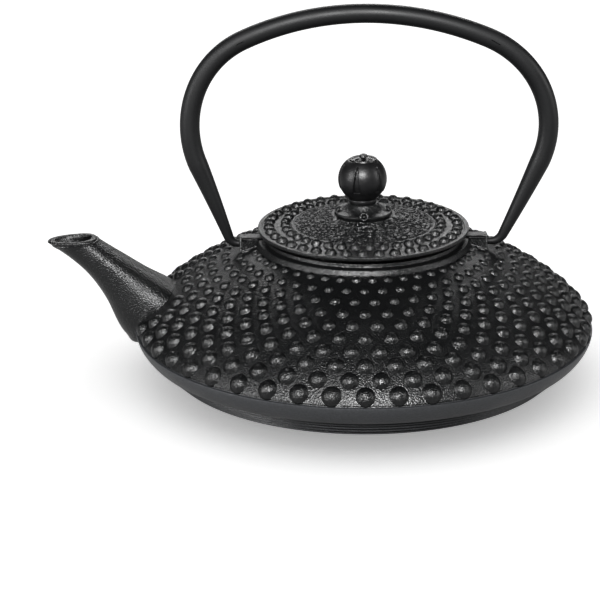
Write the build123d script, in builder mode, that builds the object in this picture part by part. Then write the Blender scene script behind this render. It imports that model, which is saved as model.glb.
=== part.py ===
"""A low, wide cast iron teapot with a bail handle, a lift-off lid and a steel infuser.

Millimetres, +Z up. The origin is the centre of the foot, on the surface that the pot stands on.
The spout points along -X, and the bail lies in the XZ plane when it stands upright.
The hobnails, the wrinkled lid and the flower on the knob are surface relief a millimetre or two
high, so this model keeps to the plain faces that carry them.
"""

import os
from math import radians, tan

from build123d import *

# Casting
WALL = 3.8
FOOT_RADIUS = 60.0
FOOT_HEIGHT = 2.5
FOOT_BEVEL = 0.6
LOWEST_RIDGE = (84.3, 6.0)
HIGHEST_RIDGE = (92.9, 12.9)
RIDGE_COUNT = 4
BAND_BULGE = (96.6, 17.8)
BAND_EDGE_RADIUS = 98.0
BAND_EDGE_HEIGHT = 23.0
BAND_EDGE_DEPTH = 0.8
DOME_FOOT = (97.5, 23.4)
DOME_PULL_LOW = (94.0, 29.9)
DOME_PULL_HIGH = (79.6, 44.7)

# Collar and mouth
COLLAR_RADIUS = 43.8
COLLAR_FOOT = 58.8
COLLAR_TOP = 62.3
COLLAR_BEVEL = 0.4
MOUTH_RADIUS = 38.0
LEDGE_RADIUS = 40.5
LEDGE_HEIGHT = 60.7

# Hollow inside the casting
FLOOR_HEIGHT = 4.4
FLOOR_RADIUS = 70.0
HOLLOW_CORNER = (88.0, 12.5)
HOLLOW_WIDEST = (93.6, 23.6)

# Spout: each station is the top of its section, the bottom of its section and its half width
SPOUT_STATIONS = (
    ((-76.0, 36.5), (-90.0, 13.0), 15.0),
    ((-85.0, 42.2), (-101.5, 14.8), 13.6),
    ((-93.0, 47.1), (-105.6, 24.0), 11.9),
    ((-100.8, 52.2), (-110.4, 35.0), 10.1),
    ((-107.6, 56.9), (-117.0, 44.7), 8.5),
    ((-111.4, 59.8), (-124.6, 52.0), 7.4),
)
SPOUT_MOUTH = ((-113.6, 61.5), (-134.3, 59.3), 6.8)
SPOUT_WALL = 3.2
POUR_HOLE = ((-115.4, 62.4), (-131.6, 60.6), 4.7)

# Lugs for the bail
LUG_INNER = 41.8
LUG_FACE = 52.6
LUG_WIDTH = 7.4
LUG_TOP = 61.6
LUG_BOTTOM = 53.6
LUG_ROUND = 0.8
PIVOT_HEIGHT = 58.2
PIVOT_HOLE_RADIUS = 1.53
PIVOT_HOLE_END = 45.0

# Where the casting is divided into its base and its dome
BASE_TOP = 23.0

# Bail
PIN_RADIUS = 1.45
PIN_END = 45.6
SHOULDER_FACE = 53.0
HOOK_RADIUS = 2.0
HOOK_BEND_RADIUS = 5.0
LIMB_LEAN = 22.7
BAIL_RADIUS = 4.05
BAIL_TOP = (0.0, 156.6)
TOP_ARC_RADIUS = 123.0
TOP_ARC_ANGLE = 24.0
SHOULDER_ARC_RADIUS = 41.0

# Lid
LID_RADIUS = 44.7
LID_TOP = 65.2
LID_EDGE = 1.4
LID_EDGE_BEVEL = 0.3
LID_RING_INNER = 42.9
LID_RING_DROP = 0.4
LID_CONE_FOOT = (29.6, 66.6)
LID_CONE_TOP = (13.4, 71.0)
LID_UNDER_CONE_TOP = (12.0, 66.8)
LID_LAND_OUTER = 39.6
LID_SKIRT_OUTER = 35.3
LID_SKIRT_INNER = 32.3
LID_SKIRT_BOTTOM = 57.6
LID_UNDERSIDE = 62.6

# Knob and its fixing
SEAT_RADIUS = 13.0
SEAT_BASE = 71.0
SEAT_EDGE = 1.2
SEAT_TOP = 76.1
SEAT_TOP_RADIUS = 6.2
SEAT_HOLLOW_RADIUS = 14.0
NECK_RADIUS = 5.3
NECK_RING_RADIUS = 6.0
NECK_RING_BASE = 76.5
NECK_RING_TOP = 78.0
NECK_RING_STEP = 0.4
BALL_RADIUS = 9.9
BALL_HEIGHT = 86.4
HEAD_BASE = 94.4
HEAD_RADIUS = 5.85
HEAD_THICKNESS = 1.5
BOSS_RADIUS = 1.75
BOSS_HEIGHT = 1.1
BOSS_ROUND = 0.5
SHANK_RADIUS = 2.0
SHANK_HOLE_RADIUS = 2.1
WASHER_RADIUS = 5.2
WASHER_THICKNESS = 0.8
NUT_FLATS = 7.0
NUT_THICKNESS = 3.2
SHANK_END = 62.9

# Infuser
SEAT_GAP = 0.1
FLANGE_RADIUS = 40.1
FLANGE_THICKNESS = 0.6
BAND_RADIUS = 37.4
SHEET = 0.5
BAND_BOTTOM = 52.0
MESH_TOP = 57.2
HOOP_TOP = 20.5
HOOP_BOTTOM = 15.6
HOOP_LIP_RADIUS = 33.5

ORIGIN = (0.0, 0.0)
flange_base = LEDGE_HEIGHT + SEAT_GAP
lid_seat = flange_base + FLANGE_THICKNESS + SEAT_GAP
band_inner = BAND_RADIUS - SHEET


def section_plane(top, bottom):
    """Plane across the spout, its X axis running from the bottom point to the top point."""
    run, rise = top[0] - bottom[0], top[1] - bottom[1]
    middle = ((top[0] + bottom[0]) / 2, 0.0, (top[1] + bottom[1]) / 2)
    return Plane(origin=middle, x_dir=(run, 0.0, rise), z_dir=(-rise, 0.0, run))


def section_length(top, bottom):
    """Height of a spout section, measured along its own plane."""
    return ((top[0] - bottom[0]) ** 2 + (top[1] - bottom[1]) ** 2) ** 0.5


# Casting: the foot, the ridged band, the dome and the collar, still solid
ridge_run = (HIGHEST_RIDGE[0] - LOWEST_RIDGE[0]) / RIDGE_COUNT
ridge_rise = (HIGHEST_RIDGE[1] - LOWEST_RIDGE[1]) / RIDGE_COUNT
ridges = []
for step in range(RIDGE_COUNT):
    ridge_radius = LOWEST_RIDGE[0] + step * ridge_run
    ridge_height = LOWEST_RIDGE[1] + step * ridge_rise
    ridges += [(ridge_radius, ridge_height), (ridge_radius, ridge_height + ridge_rise)]

with BuildPart() as casting:
    with BuildSketch(Plane.XZ):
        with BuildLine():
            Polyline(
                ORIGIN,
                (FOOT_RADIUS - FOOT_BEVEL, 0.0),
                (FOOT_RADIUS, FOOT_BEVEL),
                (FOOT_RADIUS, FOOT_HEIGHT),
                *ridges,
                HIGHEST_RIDGE,
            )
            ThreePointArc(
                HIGHEST_RIDGE,
                BAND_BULGE,
                (BAND_EDGE_RADIUS, BAND_EDGE_HEIGHT - BAND_EDGE_DEPTH),
            )
            Polyline(
                (BAND_EDGE_RADIUS, BAND_EDGE_HEIGHT - BAND_EDGE_DEPTH),
                (BAND_EDGE_RADIUS, BAND_EDGE_HEIGHT),
                DOME_FOOT,
            )
            Bezier(DOME_FOOT, DOME_PULL_LOW, DOME_PULL_HIGH, (COLLAR_RADIUS, COLLAR_FOOT))
            Polyline(
                (COLLAR_RADIUS, COLLAR_FOOT),
                (COLLAR_RADIUS, COLLAR_TOP - COLLAR_BEVEL),
                (COLLAR_RADIUS - COLLAR_BEVEL, COLLAR_TOP),
                (0.0, COLLAR_TOP),
                ORIGIN,
            )
        make_face()
    revolve(axis=Axis.Z)

# The channel inside the spout, from the hollow of the pot out through the mouth
with BuildPart() as spout_channel:
    for top, bottom, half_width in SPOUT_STATIONS:
        with BuildSketch(section_plane(top, bottom)):
            Ellipse(section_length(top, bottom) / 2 - SPOUT_WALL, half_width - SPOUT_WALL)
    pour_top, pour_bottom, pour_half_width = POUR_HOLE
    with BuildSketch(section_plane(pour_top, pour_bottom)):
        Ellipse(section_length(pour_top, pour_bottom) / 2, pour_half_width)
    loft()

# Spout: it is cast with the pot, and here it ends where it meets the dome
with BuildPart() as spout:
    for top, bottom, half_width in (*SPOUT_STATIONS, SPOUT_MOUTH):
        with BuildSketch(section_plane(top, bottom)):
            Ellipse(section_length(top, bottom) / 2, half_width)
    loft()
    add(casting.part, mode=Mode.SUBTRACT)
    add(spout_channel.part, mode=Mode.SUBTRACT)

# Whole pot: the casting with its lugs, its hollow and the holes for the spout and the bail
with BuildPart() as whole_pot:
    add(casting.part)
    with BuildSketch(Plane.XY.offset(LUG_BOTTOM)):
        lug_middle = (LUG_INNER + LUG_FACE) / 2
        with Locations((-lug_middle, 0.0), (lug_middle, 0.0)):
            RectangleRounded(LUG_FACE - LUG_INNER, LUG_WIDTH, LUG_ROUND)
    extrude(amount=LUG_TOP - LUG_BOTTOM)

    with BuildSketch(Plane.XZ):
        with BuildLine():
            Polyline(
                (0.0, COLLAR_TOP),
                (0.0, FLOOR_HEIGHT),
                (FLOOR_RADIUS, FLOOR_HEIGHT),
            )
            Spline(
                (FLOOR_RADIUS, FLOOR_HEIGHT),
                HOLLOW_CORNER,
                HOLLOW_WIDEST,
                tangents=[(1.0, 0.0), (0.0, 1.0)],
            )
            Bezier(
                HOLLOW_WIDEST,
                (DOME_PULL_LOW[0] - WALL, DOME_PULL_LOW[1] - WALL / 2),
                (DOME_PULL_HIGH[0] - WALL / 2, DOME_PULL_HIGH[1] - WALL),
                (MOUTH_RADIUS, COLLAR_FOOT - WALL / 2),
            )
            Polyline(
                (MOUTH_RADIUS, COLLAR_FOOT - WALL / 2),
                (MOUTH_RADIUS, LEDGE_HEIGHT),
                (LEDGE_RADIUS, LEDGE_HEIGHT),
                (LEDGE_RADIUS, COLLAR_TOP),
                (0.0, COLLAR_TOP),
            )
        make_face()
    revolve(axis=Axis.Z, mode=Mode.SUBTRACT)

    add(spout_channel.part, mode=Mode.SUBTRACT)

    for side in (-1, 1):
        pivot_hole = Plane(origin=(side * LUG_FACE, 0.0, PIVOT_HEIGHT), z_dir=(side, 0.0, 0.0))
        with BuildSketch(pivot_hole):
            Circle(PIVOT_HOLE_RADIUS)
        extrude(amount=PIVOT_HOLE_END - LUG_FACE, mode=Mode.SUBTRACT)

# Pot base and pot body: the one casting, divided under the dome so that each half has a simple shape
divide = Plane.XY.offset(BASE_TOP)
with BuildPart() as pot_base:
    add(whole_pot.part)
    split(bisect_by=divide, keep=Keep.BOTTOM)

with BuildPart() as pot_body:
    add(whole_pot.part)
    split(bisect_by=divide, keep=Keep.TOP)

# Bail: a round bar over the top, tapering down straight limbs to hooks that turn in the lugs
with BuildLine(Plane.XZ) as bow:
    top_arc = JernArc(BAIL_TOP, (1.0, 0.0), TOP_ARC_RADIUS, -TOP_ARC_ANGLE)
    shoulder_turn = 90.0 + LIMB_LEAN - TOP_ARC_ANGLE
    shoulder_arc = JernArc(top_arc @ 1, top_arc % 1, SHOULDER_ARC_RADIUS, -shoulder_turn)
limb_top = shoulder_arc @ 1
limb_direction = shoulder_arc % 1
limb_reach = (limb_top.Z - PIVOT_HEIGHT) / -limb_direction.Z
hook_corner = limb_top + limb_direction * limb_reach
hook_setback = HOOK_BEND_RADIUS * tan(radians(90.0 - LIMB_LEAN) / 2)
limb_foot = hook_corner - limb_direction * hook_setback

with BuildLine(Plane.XZ) as hook:
    Line((SHOULDER_FACE, PIVOT_HEIGHT), (hook_corner.X - hook_setback, PIVOT_HEIGHT))
    TangentArc(
        (hook_corner.X - hook_setback, PIVOT_HEIGHT),
        (limb_foot.X, limb_foot.Z),
        tangent=(1.0, 0.0),
    )

with BuildPart() as handle:
    with BuildSketch(Plane(bow.wires()[0] @ 0, z_dir=bow.wires()[0] % 0)):
        Circle(BAIL_RADIUS)
    sweep(path=bow.wires()[0])
    for middle, radius in ((limb_top, BAIL_RADIUS), (limb_foot, HOOK_RADIUS)):
        with BuildSketch(Plane(middle, z_dir=limb_direction)):
            Circle(radius)
    loft()
    with BuildSketch(Plane(hook.wires()[0] @ 0, z_dir=hook.wires()[0] % 0)):
        Circle(HOOK_RADIUS)
    sweep(path=hook.wires()[0])
    with BuildSketch(Plane.YZ.offset(PIN_END)):
        with Locations((0.0, PIVOT_HEIGHT)):
            Circle(PIN_RADIUS)
    extrude(amount=SHOULDER_FACE - PIN_END)
    mirror(about=Plane.YZ)

# Lid: a shallow cast cone that sits on the infuser's flange, with a skirt inside the infuser
with BuildPart() as lid:
    with BuildSketch(Plane.XZ):
        with BuildLine():
            Polyline(
                (SHANK_HOLE_RADIUS, LID_CONE_TOP[1]),
                LID_CONE_TOP,
                LID_CONE_FOOT,
                (LID_RING_INNER, LID_TOP - LID_RING_DROP),
                (LID_RING_INNER, LID_TOP),
                (LID_RADIUS - LID_EDGE_BEVEL, LID_TOP),
                (LID_RADIUS, LID_TOP - LID_EDGE_BEVEL),
                (LID_RADIUS, LID_TOP - LID_EDGE),
                (LID_LAND_OUTER, LID_TOP - LID_EDGE),
                (LID_LAND_OUTER, lid_seat),
                (LID_SKIRT_OUTER, lid_seat),
                (LID_SKIRT_OUTER, LID_SKIRT_BOTTOM),
                (LID_SKIRT_INNER, LID_SKIRT_BOTTOM),
                (LID_SKIRT_INNER, LID_UNDERSIDE),
                LID_UNDER_CONE_TOP,
                (SHANK_HOLE_RADIUS, LID_UNDER_CONE_TOP[1]),
                (SHANK_HOLE_RADIUS, LID_CONE_TOP[1]),
            )
        make_face()
    revolve(axis=Axis.Z)

# Knob seat: the petalled bell under the knob
with BuildPart() as knob_seat:
    with BuildSketch(Plane.XZ):
        with BuildLine():
            Polyline(
                (SEAT_TOP_RADIUS, SEAT_TOP),
                (SHANK_HOLE_RADIUS, SEAT_TOP),
                (SHANK_HOLE_RADIUS, SEAT_BASE),
                (SEAT_RADIUS, SEAT_BASE),
                (SEAT_RADIUS, SEAT_BASE + SEAT_EDGE),
            )
            RadiusArc(
                (SEAT_RADIUS, SEAT_BASE + SEAT_EDGE),
                (SEAT_TOP_RADIUS, SEAT_TOP),
                SEAT_HOLLOW_RADIUS,
            )
        make_face()
    revolve(axis=Axis.Z)

# Knob: a ball on a ringed neck, bored through for the pin
ball_low = (NECK_RING_RADIUS - NECK_RING_STEP, NECK_RING_TOP)
ball_start = (ball_low[0], BALL_HEIGHT - (BALL_RADIUS**2 - ball_low[0] ** 2) ** 0.5)
ball_end = ((BALL_RADIUS**2 - (HEAD_BASE - BALL_HEIGHT) ** 2) ** 0.5, HEAD_BASE)
with BuildPart() as knob:
    with BuildSketch(Plane.XZ):
        with BuildLine():
            Polyline(
                ball_end,
                (SHANK_HOLE_RADIUS, HEAD_BASE),
                (SHANK_HOLE_RADIUS, SEAT_TOP),
                (NECK_RADIUS, SEAT_TOP),
                (NECK_RADIUS, NECK_RING_BASE),
                (NECK_RING_RADIUS, NECK_RING_BASE),
                (NECK_RING_RADIUS, NECK_RING_TOP),
                ball_low,
                ball_start,
            )
            ThreePointArc(ball_start, (BALL_RADIUS, BALL_HEIGHT), ball_end)
        make_face()
    revolve(axis=Axis.Z)

# Knob pin: its flower-shaped head shows on top, and its shank goes down through the lid
with BuildPart() as knob_pin:
    with BuildSketch(Plane.XY.offset(HEAD_BASE)):
        Circle(HEAD_RADIUS)
    extrude(amount=HEAD_THICKNESS)
    with BuildSketch(Plane.XY.offset(HEAD_BASE + HEAD_THICKNESS)):
        Circle(BOSS_RADIUS)
    extrude(amount=BOSS_HEIGHT)
    with BuildSketch(Plane.XY.offset(SHANK_END)):
        Circle(SHANK_RADIUS)
    extrude(amount=HEAD_BASE - SHANK_END)
    boss_rim = knob_pin.edges().group_by(Axis.Z)[-1]
    fillet(boss_rim, radius=BOSS_ROUND)

# Washer and nut: they hold the knob's pin on the underside of the lid
washer_base = LID_UNDER_CONE_TOP[1] - WASHER_THICKNESS
with BuildPart() as knob_washer:
    with BuildSketch(Plane.XY.offset(washer_base)):
        Circle(WASHER_RADIUS)
        Circle(SHANK_HOLE_RADIUS, mode=Mode.SUBTRACT)
    extrude(amount=WASHER_THICKNESS)

with BuildPart() as knob_nut:
    with BuildSketch(Plane.XY.offset(washer_base - NUT_THICKNESS)):
        RegularPolygon(NUT_FLATS / 2, side_count=6, major_radius=False)
        Circle(SHANK_RADIUS, mode=Mode.SUBTRACT)
    extrude(amount=NUT_THICKNESS)

# Infuser rim: a pressed steel flange that rests on the collar's ledge, with a band below it
with BuildPart() as infuser_rim:
    with BuildSketch(Plane.XZ):
        with BuildLine():
            Polyline(
                (band_inner, flange_base + FLANGE_THICKNESS),
                (FLANGE_RADIUS, flange_base + FLANGE_THICKNESS),
                (FLANGE_RADIUS, flange_base),
                (BAND_RADIUS, flange_base),
                (BAND_RADIUS, BAND_BOTTOM),
                (band_inner, BAND_BOTTOM),
                (band_inner, flange_base + FLANGE_THICKNESS),
            )
        make_face()
    revolve(axis=Axis.Z)

# Infuser hoop: the turned-in ring that closes the bottom of the basket
with BuildPart() as infuser_hoop:
    with BuildSketch(Plane.XZ):
        with BuildLine():
            Polyline(
                (BAND_RADIUS, HOOP_BOTTOM),
                (BAND_RADIUS, HOOP_TOP),
                (band_inner, HOOP_TOP),
                (band_inner, HOOP_BOTTOM + SHEET),
                (HOOP_LIP_RADIUS, HOOP_BOTTOM + SHEET),
                (HOOP_LIP_RADIUS, HOOP_BOTTOM),
                (BAND_RADIUS, HOOP_BOTTOM),
            )
        make_face()
    revolve(axis=Axis.Z)

# Infuser floor and wall: fine woven steel mesh, as sheets of the mesh's own thickness
mesh_floor = HOOP_BOTTOM + SHEET
with BuildPart() as infuser_floor:
    with BuildSketch(Plane.XY.offset(mesh_floor)):
        Circle(band_inner)
    extrude(amount=SHEET)

with BuildPart() as infuser_wall:
    with BuildSketch(Plane.XY.offset(mesh_floor + SHEET)):
        Circle(band_inner)
        Circle(band_inner - SHEET, mode=Mode.SUBTRACT)
    extrude(amount=MESH_TOP - mesh_floor - SHEET)

# One file for each piece
os.makedirs("parts", exist_ok=True)
pieces = {
    "pot_base": pot_base,
    "pot_body": pot_body,
    "spout": spout,
    "handle": handle,
    "lid": lid,
    "knob_seat": knob_seat,
    "knob": knob,
    "knob_pin": knob_pin,
    "knob_washer": knob_washer,
    "knob_nut": knob_nut,
    "infuser_rim": infuser_rim,
    "infuser_wall": infuser_wall,
    "infuser_floor": infuser_floor,
    "infuser_hoop": infuser_hoop,
}
for name, piece in pieces.items():
    piece.part.label = name
    export_step(piece.part, f"parts/{name}.step")
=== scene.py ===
# %% [markdown]
# A hobnailed cast iron teapot
#
# The CAD model already holds every piece at its true size and in its true place. This script gives each
# piece the surface that a founder, a smith and a press shop would leave on it. It first loads that
# model as a fixed frame, and keeps the box that the finished teapot has to stay in.

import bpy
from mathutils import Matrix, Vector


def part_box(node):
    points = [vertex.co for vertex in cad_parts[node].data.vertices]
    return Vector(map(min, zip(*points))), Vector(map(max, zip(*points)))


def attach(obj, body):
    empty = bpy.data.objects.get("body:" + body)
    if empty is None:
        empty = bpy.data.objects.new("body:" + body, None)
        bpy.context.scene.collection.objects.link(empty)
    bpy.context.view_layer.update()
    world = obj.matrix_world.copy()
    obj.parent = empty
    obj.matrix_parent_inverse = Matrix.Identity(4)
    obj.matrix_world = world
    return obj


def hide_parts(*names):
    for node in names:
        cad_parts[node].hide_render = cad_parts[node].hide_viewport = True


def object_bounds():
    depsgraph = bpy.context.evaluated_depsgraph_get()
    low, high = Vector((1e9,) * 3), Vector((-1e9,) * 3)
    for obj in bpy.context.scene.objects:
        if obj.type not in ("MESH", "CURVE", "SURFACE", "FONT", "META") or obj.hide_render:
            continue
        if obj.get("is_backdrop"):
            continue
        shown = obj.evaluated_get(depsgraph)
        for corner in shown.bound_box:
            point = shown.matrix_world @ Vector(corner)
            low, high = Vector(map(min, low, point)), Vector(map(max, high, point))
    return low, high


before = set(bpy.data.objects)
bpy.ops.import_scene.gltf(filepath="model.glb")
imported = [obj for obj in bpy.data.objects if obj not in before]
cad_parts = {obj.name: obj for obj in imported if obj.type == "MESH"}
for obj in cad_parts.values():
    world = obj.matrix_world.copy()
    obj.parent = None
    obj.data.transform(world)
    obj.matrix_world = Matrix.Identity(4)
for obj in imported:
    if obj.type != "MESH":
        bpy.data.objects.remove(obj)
cad_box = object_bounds()
print("CAD box", [round(value, 4) for corner in cad_box for value in corner])

# %% [markdown]
# Blender works in metres, and teapots are easier to think about in millimetres. All the shapes below are
# worked out in millimetres and scaled once, when a piece is made. The tops of the pot, the knob and its
# seat, the lid's edge and the foot of its skirt come from the CAD nodes themselves, so there the two
# models can't drift apart.

# %% Units, and the places that the CAD gives
import math
import random

import bmesh
import bpy
import numpy as np
from mathutils import Matrix, Vector, noise
from mathutils.bvhtree import BVHTree

MM = 0.001
TURN = 2 * math.pi


def corner_of(node, end):
    """The lowest corner (end 0) or the highest corner (end 1) of a CAD node, in millimetres."""
    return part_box(node)[end] / MM


base_high, pot_high, lid_high, seat_high, knob_high, bail_high = (
    corner_of(node, 1) for node in ("pot_base", "pot_body", "lid", "knob_seat", "knob", "handle")
)
lid_low = corner_of("lid", 0)
print(f"pot {2 * base_high.y:.1f} mm across, lid {2 * lid_high.x:.1f} mm, bail {bail_high.z:.1f} mm high")

# %% [markdown]
# Nearly everything on a teapot is either turned, such as the pot and the lid, or drawn out along a line,
# such as the spout and the bail. Both are rings of points with a skin over them. One helper makes that
# skin, and another turns an outline into such rings. Cast and pressed edges are never sharp, so a third
# rounds the corners of an outline, and a fourth draws the long curves between them.

# %% Skins, outlines and turned shapes
def skin(rings, loop=False):
    """Points and faces of a skin over equal rings. The ends are closed, or meet if it is a loop."""
    rings = np.asarray(rings, float)
    count, sides = rings.shape[:2]
    index = np.arange(count * sides).reshape(count, sides)
    rows = np.vstack([index, index[:1]]) if loop else index
    low, high = rows[:-1], rows[1:]
    quads = np.stack([low, np.roll(low, -1, 1), np.roll(high, -1, 1), high], -1)
    faces = quads.reshape(-1, 4).tolist()
    points = rings.reshape(-1, 3)
    if not loop:
        for end in (0, -1):
            faces += [(a, b, len(points)) for a, b in zip(index[end], np.roll(index[end], -1))]
            points = np.vstack([points, rings[end].mean(0)])
    return points, faces


def rounded(outline, loop=False, steps=4):
    """An outline whose corners (x, z, size) are each turned into a small curve of that size."""
    line = []
    for i, (x, z, size) in enumerate(outline):
        here = Vector((x, z))
        if size == 0 or (not loop and i in (0, len(outline) - 1)):
            line.append(here)
            continue
        ends = []
        for other in (outline[i - 1], outline[(i + 1) % len(outline)]):
            way = Vector(other[:2]) - here
            ends.append(here + way.normalized() * min(size, 0.45 * way.length))
        for t in np.linspace(0, 1, steps + 1):
            line.append(ends[0] * (1 - t) ** 2 + here * (2 * t * (1 - t)) + ends[1] * t * t)
    return line


def pulled(start, pull_a, pull_b, end, count):
    """Points on the cubic curve from start to end that two pull points shape."""
    a, b, c, d = (Vector(p) for p in (start, pull_a, pull_b, end))
    return [
        a * (1 - t) ** 3 + b * (3 * t * (1 - t) ** 2) + c * (3 * t * t * (1 - t)) + d * t**3
        for t in np.linspace(0, 1, count)
    ]


def around_axis(sides):
    """Evenly spaced angles, once round the vertical axis."""
    return np.linspace(0, TURN, sides, endpoint=False)


def ring_of(radius, height, angle):
    """Points round the vertical axis. The radius and the height may change with the angle."""
    return np.stack([radius * np.cos(angle), radius * np.sin(angle), height + 0 * angle], -1)


def turned(line, sides):
    """Rings made by turning a line of (radius, height) points about the vertical axis."""
    angle = around_axis(sides)
    return np.array([ring_of(point[0], point[1], angle) for point in line])


print("a rounded square has", len(rounded([(0, 0, 1), (4, 0, 1), (4, 4, 1), (0, 4, 1)], loop=True)), "points")

# %% [markdown]
# A piece is a mesh object with its normals turned outwards. Castings are smooth with crisp arrises, so the
# shading is smooth except where two faces meet at more than a given angle. Castings are also joined and
# bored, and the Boolean modifier does both. Its Manifold solver is quick and exact on closed meshes. The
# result starts without materials, because the finishes come later.

# %% Make a piece, and join or cut it
SHARP_ANGLE = 35


def shade(obj, sharp=SHARP_ANGLE):
    """Smooth shading that keeps the edges sharper than an angle in degrees."""
    obj.data.shade_smooth()
    obj.data.set_sharp_from_angle(angle=math.radians(sharp))


def make(name, parts, sharp=SHARP_ANGLE):
    """An object from (points, faces) parts in millimetres."""
    points, faces, start = [], [], 0
    for part_points, part_faces in parts:
        points.append(part_points)
        faces += [[v + start for v in face] for face in part_faces]
        start += len(part_points)
    mesh = bpy.data.meshes.new(name)
    mesh.from_pydata((np.vstack(points) * MM).tolist(), [], faces)
    work = bmesh.new()
    work.from_mesh(mesh)
    bmesh.ops.recalc_face_normals(work, faces=work.faces)
    work.to_mesh(mesh)
    work.free()
    obj = bpy.data.objects.new(name, mesh)
    bpy.context.scene.collection.objects.link(obj)
    shade(obj, sharp)
    return obj


def carve(obj, tool, operation, sharp=SHARP_ANGLE):
    """Joins (UNION) or cuts (DIFFERENCE) a closed tool with an object, and clears the tool away."""
    change = obj.modifiers.new(operation, "BOOLEAN")
    change.object = tool
    change.operation = operation
    change.solver = "MANIFOLD"
    ready = obj.evaluated_get(bpy.context.evaluated_depsgraph_get())
    result = bpy.data.meshes.new_from_object(ready)
    result.materials.clear()
    obj.modifiers.clear()
    obj.data = result
    bpy.data.objects.remove(tool)
    shade(obj, sharp)


# %% [markdown]
# The camera stands where a buyer would look from: almost level with the lid, a little above it, and far
# enough away that the round body isn't distorted. A long lens does that.

# %% Camera
CAMERA_PLACE = Vector((-27.2, -752.7, 303.2)) * MM
CAMERA_DOWN = 19.8
CAMERA_ROLL = -0.61
LENS = 111.4

camera = bpy.data.objects.new("camera", bpy.data.cameras.new("camera"))
camera.data.lens = LENS
camera.data.sensor_width = 36
camera.matrix_world = (
    Matrix.Translation(CAMERA_PLACE)
    @ Matrix.Rotation(math.radians(90 - CAMERA_DOWN), 4, "X")
    @ Matrix.Rotation(math.radians(CAMERA_ROLL), 4, "Z")
)
bpy.context.scene.collection.objects.link(camera)
bpy.context.scene.camera = camera
print("camera is", round(CAMERA_PLACE.length, 3), "m from the foot of the pot")

# %% [markdown]
# The pot is sand cast in one piece, so we make one mesh of it. The outside and the hollow are two turned
# solids. The outside gets the details that a pattern maker cuts: a foot ring, four steps that overhang
# each other, a bulging band with a groove over it, and a collar for the lid.

# %% The outside of the casting
CORE = 0.5  # solids start this close to the axis
FOOT = 60.0
LOWEST_STEP, HIGHEST_STEP, STEP_COUNT = Vector((84.3, 6.0)), Vector((93.5, 14.5)), 4
STEP_LEAN = 0.85
BAND_EDGE = (98.0, 22.75)
DOME = ((97.5, 23.4), (94.0, 29.9), (79.6, 44.7), (43.8, 58.8))
DOME_POINTS = 400
COLLAR = 43.8
MOUTH, LEDGE = 38.0, 40.5
LEDGE_HEIGHT = 60.7
DOME_START, DOME_END, DOME_EVERY = 6, -8, 9
POT_SIDES = 352

under = [(52.0, 1.4, 0), (55.4, 1.2, 0.8), (56.2, 0.0, 0.5), (FOOT, 0.0, 0.6), (FOOT, 2.5, 0.8)]
rise = (HIGHEST_STEP - LOWEST_STEP) / STEP_COUNT
for step in range(STEP_COUNT):
    edge = LOWEST_STEP + rise * step
    under.append((edge.x, edge.y, 0.5))
    under.append((edge.x - STEP_LEAN, edge.y + rise.y, 0))
band = pulled(HIGHEST_STEP, (95.5, 16.2), (97.7, 19.4), (BAND_EDGE[0], BAND_EDGE[1] - 0.6), 12)
groove = [
    (*band[-1], 0),
    (*BAND_EDGE, 0.3),
    (96.9, 22.75, 0.15),
    (96.7, 23.5, 0.2),
    (97.15, 24.05, 0.35),
]
dome = pulled(*DOME, DOME_POINTS)
collar = [
    (COLLAR + 1.9, 57.8, 0),
    (COLLAR + 1.9, 58.5, 0.3),
    (COLLAR + 0.9, 60.5, 0.4),
    (COLLAR - 1.6, 60.8, 0.5),
    (COLLAR - 1.8, pot_high.z, 0.3),
    (CORE, pot_high.z, 0),
]
outside = rounded(under) + band[:-1] + rounded(groove, steps=3)[:-1]
outside += dome[DOME_START:DOME_END:DOME_EVERY] + rounded(collar)
pot = make("pot_casting", [skin(turned([(CORE, 1.4)] + outside, POT_SIDES))])
print("outside of the casting:", len(outside), "rings")

# %% [markdown]
# The spout is part of the same casting. Its section is an egg that is wider above than below, it leaves
# the pot tall and narrow, and it lies over on its side by the mouth. We give a few sections by their top
# point, their bottom point and their half width, and let a smooth curve run through all of them. A fine
# bead under the lip stops drips.

# %% The spout
SPOUT_SECTIONS = (
    ((-76.0, 37.0), (-85.0, 16.0), 13.8),
    ((-84.5, 42.2), (-98.2, 14.7), 14.4),
    ((-87.6, 44.0), (-102.4, 18.6), 13.4),
    ((-93.0, 47.1), (-105.8, 24.0), 11.9),
    ((-100.8, 52.2), (-110.4, 35.0), 10.1),
    ((-107.4, 56.6), (-116.8, 45.0), 8.5),
    ((-111.2, 59.3), (-124.3, 52.5), 7.4),
    ((-113.6, 61.2), (-134.2, 60.0), 6.8),
)
BORE_SECTIONS = (
    ((-70.0, 30.0), (-80.0, 18.0), 9.0),
    ((-85.0, 38.6), (-97.0, 21.0), 9.6),
    ((-94.6, 44.6), (-103.6, 29.0), 8.4),
    ((-102.0, 49.6), (-109.6, 37.6), 6.8),
    ((-109.0, 54.6), (-117.4, 47.6), 5.4),
    ((-115.0, 60.5), (-129.4, 57.6), 4.4),
    ((-115.5, 61.6), (-131.2, 60.3), 4.9),
    ((-115.4, 64.0), (-131.4, 63.0), 5.1),
)
SPOUT_SIDES = 112
EGG, SQUARENESS = 0.17, 2.35
STEPS_BETWEEN = 9
BEAD = ((0.62, 0.0), (0.70, 0.3), (0.79, 0.35), (0.85, 0.0), (0.9, 0.05), (1.0, 0.1))


def through(sections, steps):
    """Sections on a smooth curve that passes through all the given ones."""
    rows = np.array([[*top, *bottom, half] for top, bottom, half in sections])
    rows = np.vstack([2 * rows[0] - rows[1], rows, 2 * rows[-1] - rows[-2]])
    line = []
    for a, b, c, d in zip(rows, rows[1:], rows[2:], rows[3:]):
        for t in np.arange(steps) / steps:
            bend = (2 * a - 5 * b + 4 * c - d) * t**2 + (3 * b - a - 3 * c + d) * t**3
            line.append((2 * b + (c - a) * t + bend) / 2)
    return line + [rows[-2]]


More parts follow.
